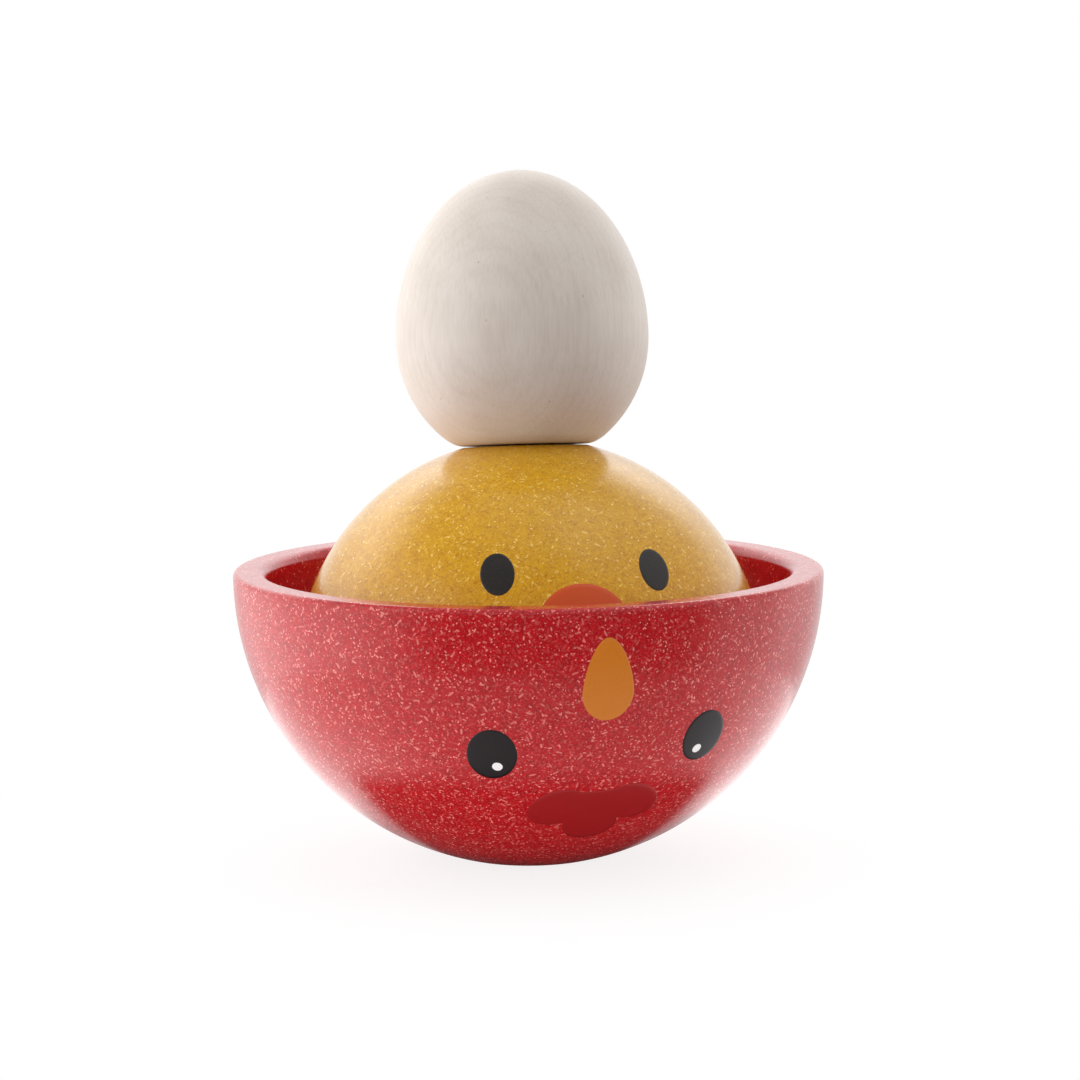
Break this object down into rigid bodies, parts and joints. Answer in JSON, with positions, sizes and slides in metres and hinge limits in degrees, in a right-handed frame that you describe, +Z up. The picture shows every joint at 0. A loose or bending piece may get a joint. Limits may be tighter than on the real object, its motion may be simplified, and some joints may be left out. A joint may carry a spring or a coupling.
{
  "type": "chicken nesting toy",
  "caption": "Stacking and nesting toy: a round hen bowl holds a smaller chick dome, rim down, and an egg with a flat foot stands on the chick.",
  "frame": {"origin": "centre of the hen's flat crown, which the toy stands on", "axes": "+Z up from the hen's crown to the egg's top; the hen's face looks along -Y"},
  "size_m": [0.11, 0.1103, 0.1275],
  "materials": {
    "hen_composite": "dyed sawdust composite under a satin lacquer, with pale specks and fibres",
    "chick_composite": "dyed sawdust composite under a satin lacquer, with cream and brown specks",
    "egg_wood": "turned wood with a thin white wash, matte",
    "hen_beak_ink": "printed ink, satin",
    "comb_ink": "printed ink, satin",
    "chick_beak_ink": "printed ink, satin",
    "eye_ink": "printed ink, satin",
    "white_ink": "printed ink, satin"
  },
  "bodies": {
    "hen": {"hen_bowl": "hen_composite", "hen_beak": "hen_beak_ink", "hen_comb": "comb_ink", "hen_left_eye": "eye_ink", "hen_right_eye": "eye_ink", "hen_left_eye_glint": "white_ink", "hen_right_eye_glint": "white_ink"},
    "chick": {"chick_dome": "chick_composite", "chick_beak": "chick_beak_ink", "chick_left_eye": "eye_ink", "chick_right_eye": "eye_ink"},
    "egg": {"egg": "egg_wood"}
  },
  "joints": [
    {"name": "chick_lift", "type": "slide", "parent": "hen", "child": "chick", "axis": [0, 0, 1], "range_m": [0, 0.06]},
    {"name": "egg_lift", "type": "slide", "parent": "chick", "child": "egg", "axis": [0, 0, 1], "range_m": [0, 0.04]}
  ]
}
